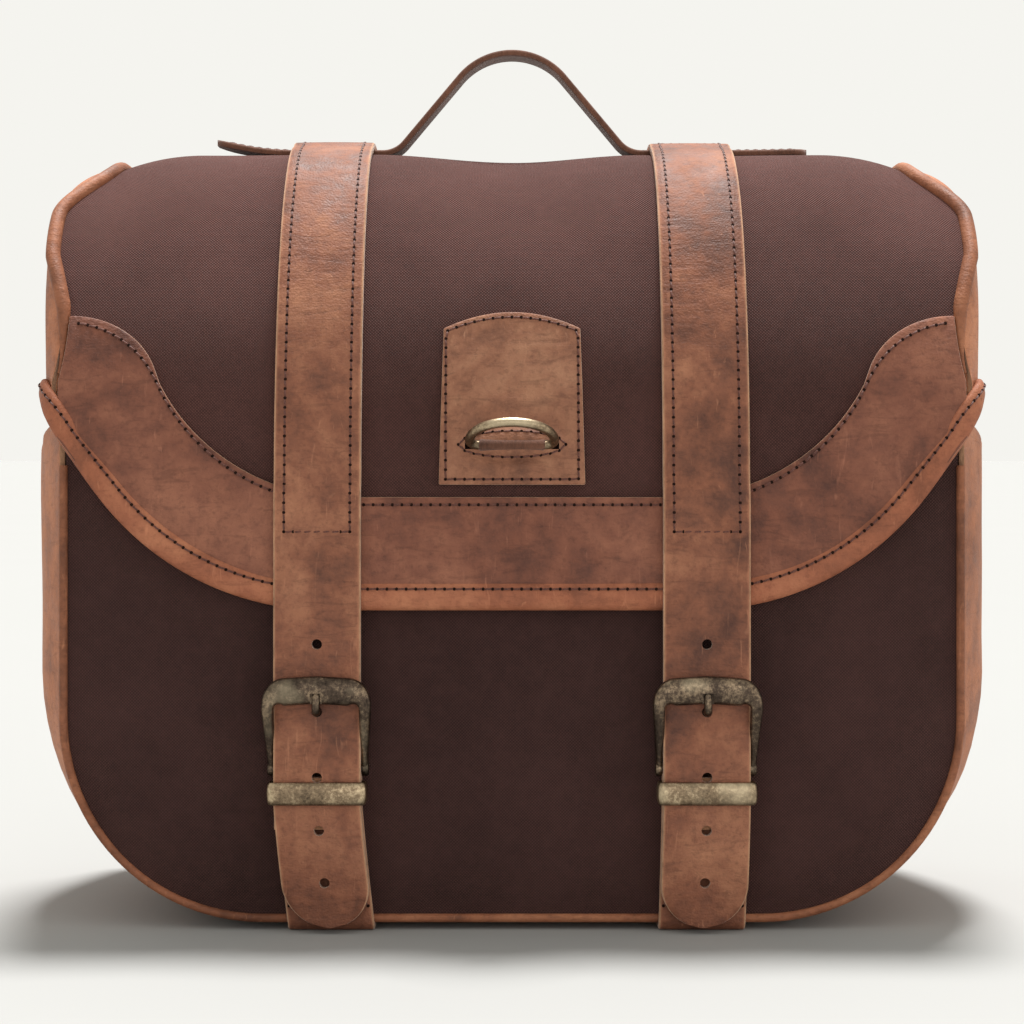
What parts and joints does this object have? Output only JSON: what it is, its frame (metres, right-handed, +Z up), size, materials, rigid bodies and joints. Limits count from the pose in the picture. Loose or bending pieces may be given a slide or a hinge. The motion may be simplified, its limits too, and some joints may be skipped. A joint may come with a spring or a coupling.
{
  "type": "motorcycle saddlebag",
  "caption": "Stiff canvas motorcycle saddlebag with leather gussets, drooping lid with a crescent band, buckled straps, hand loop and ring patch.",
  "frame": {"origin": "middle of the footprint, on the surface that the bag stands on", "axes": "+X to the right of someone looking at the front, -Y out of the front, +Z up"},
  "size_m": [0.366, 0.1577, 0.338],
  "materials": {
    "canvas": "waxed cotton canvas, fine weave",
    "leather": "oiled nubuck, tan",
    "leather_dark": "oiled nubuck, rubbed dark",
    "leather_piping": "smooth oiled leather",
    "antique_brass": "antiqued, speckled",
    "board": "stiff sheet",
    "lining_cloth": "plain woven cloth"
  },
  "bodies": {
    "case": {"front_panel": "canvas", "back_panel": "canvas", "gusset": "leather", "front_piping": "leather_piping", "back_piping": "leather_piping", "front_stiffener": "board", "back_stiffener": "board", "base_board": "board", "lining": "lining_cloth", "rim_binding": "leather_piping", "hinge_strip": "leather", "back_reinforcement": "leather", "eyelets": "antique_brass", "billet_left": "leather", "billet_right": "leather", "base_strap_left": "leather", "base_strap_right": "leather"},
    "lid": {"lid_panel": "canvas", "lid_side_left": "leather", "lid_side_right": "leather", "lid_piping_left": "leather_piping", "lid_piping_right": "leather_piping", "lid_band": "leather_dark", "lid_edge_binding": "leather", "lid_stiffener": "board", "patch": "leather_dark", "d_ring_tab": "leather_dark", "strap_left": "leather", "strap_right": "leather", "handle_end_left": "leather_dark", "handle_end_right": "leather_dark"},
    "hand_loop": {"handle_arch": "leather_dark"},
    "ring": {"d_ring": "antique_brass"},
    "tail_left": {"strap_tail_left": "leather"},
    "buckle_left": {"buckle_frame_left": "antique_brass"},
    "tongue_left": {"prong_left": "antique_brass"},
    "loop_left": {"keeper_left": "antique_brass"},
    "tail_right": {"strap_tail_right": "leather"},
    "buckle_right": {"buckle_frame_right": "antique_brass"},
    "tongue_right": {"prong_right": "antique_brass"},
    "loop_right": {"keeper_right": "antique_brass"}
  },
  "joints": [
    {"name": "lid_hinge", "type": "hinge", "parent": "case", "child": "lid", "pos_m": [0, 0.07635, 0.266], "axis": [-1, 0, 0], "range_deg": [0, 115], "deforming": ["hinge_strip", "strap_tail_left", "strap_tail_right"]},
    {"name": "hand_loop_tilt", "type": "hinge", "parent": "lid", "child": "hand_loop", "pos_m": [0, 0.02785, 0.3018], "axis": [1, 0, 0], "range_deg": [-25, 25], "stiffness_Nm_per_rad": 0.05},
    {"name": "ring_swing", "type": "hinge", "parent": "lid", "child": "ring", "pos_m": [0, -0.06416, 0.1785], "axis": [1, 0, 0], "range_deg": [-45, 110]},
    {"name": "strap_left_bend", "type": "hinge", "parent": "lid", "child": "tail_left", "pos_m": [-0.071, -0.06375, 0.144], "axis": [-1, 0, 0], "range_deg": [0, 90], "deforming": ["strap_tail_left"]},
    {"name": "buckle_left_tip", "type": "hinge", "parent": "case", "child": "buckle_left", "pos_m": [-0.071, -0.05895, 0.06], "axis": [1, 0, 0], "range_deg": [0, 60], "deforming": ["strap_tail_left"]},
    {"name": "prong_left_swing", "type": "hinge", "parent": "buckle_left", "child": "tongue_left", "pos_m": [-0.071, -0.05895, 0.06], "axis": [1, 0, 0], "range_deg": [0, 35], "deforming": ["strap_tail_left"]},
    {"name": "keeper_left_slide", "type": "slide", "parent": "case", "child": "loop_left", "axis": [0, 0, -1], "range_m": [0, 0.004], "deforming": ["strap_tail_left"]},
    {"name": "strap_right_bend", "type": "hinge", "parent": "lid", "child": "tail_right", "pos_m": [0.071, -0.06375, 0.144], "axis": [-1, 0, 0], "range_deg": [0, 90], "deforming": ["strap_tail_right"]},
    {"name": "buckle_right_tip", "type": "hinge", "parent": "case", "child": "buckle_right", "pos_m": [0.071, -0.05895, 0.06], "axis": [1, 0, 0], "range_deg": [0, 60], "deforming": ["strap_tail_right"]},
    {"name": "prong_right_swing", "type": "hinge", "parent": "buckle_right", "child": "tongue_right", "pos_m": [0.071, -0.05895, 0.06], "axis": [1, 0, 0], "range_deg": [0, 35], "deforming": ["strap_tail_right"]},
    {"name": "keeper_right_slide", "type": "slide", "parent": "case", "child": "loop_right", "axis": [0, 0, -1], "range_m": [0, 0.004], "deforming": ["strap_tail_right"]}
  ]
}
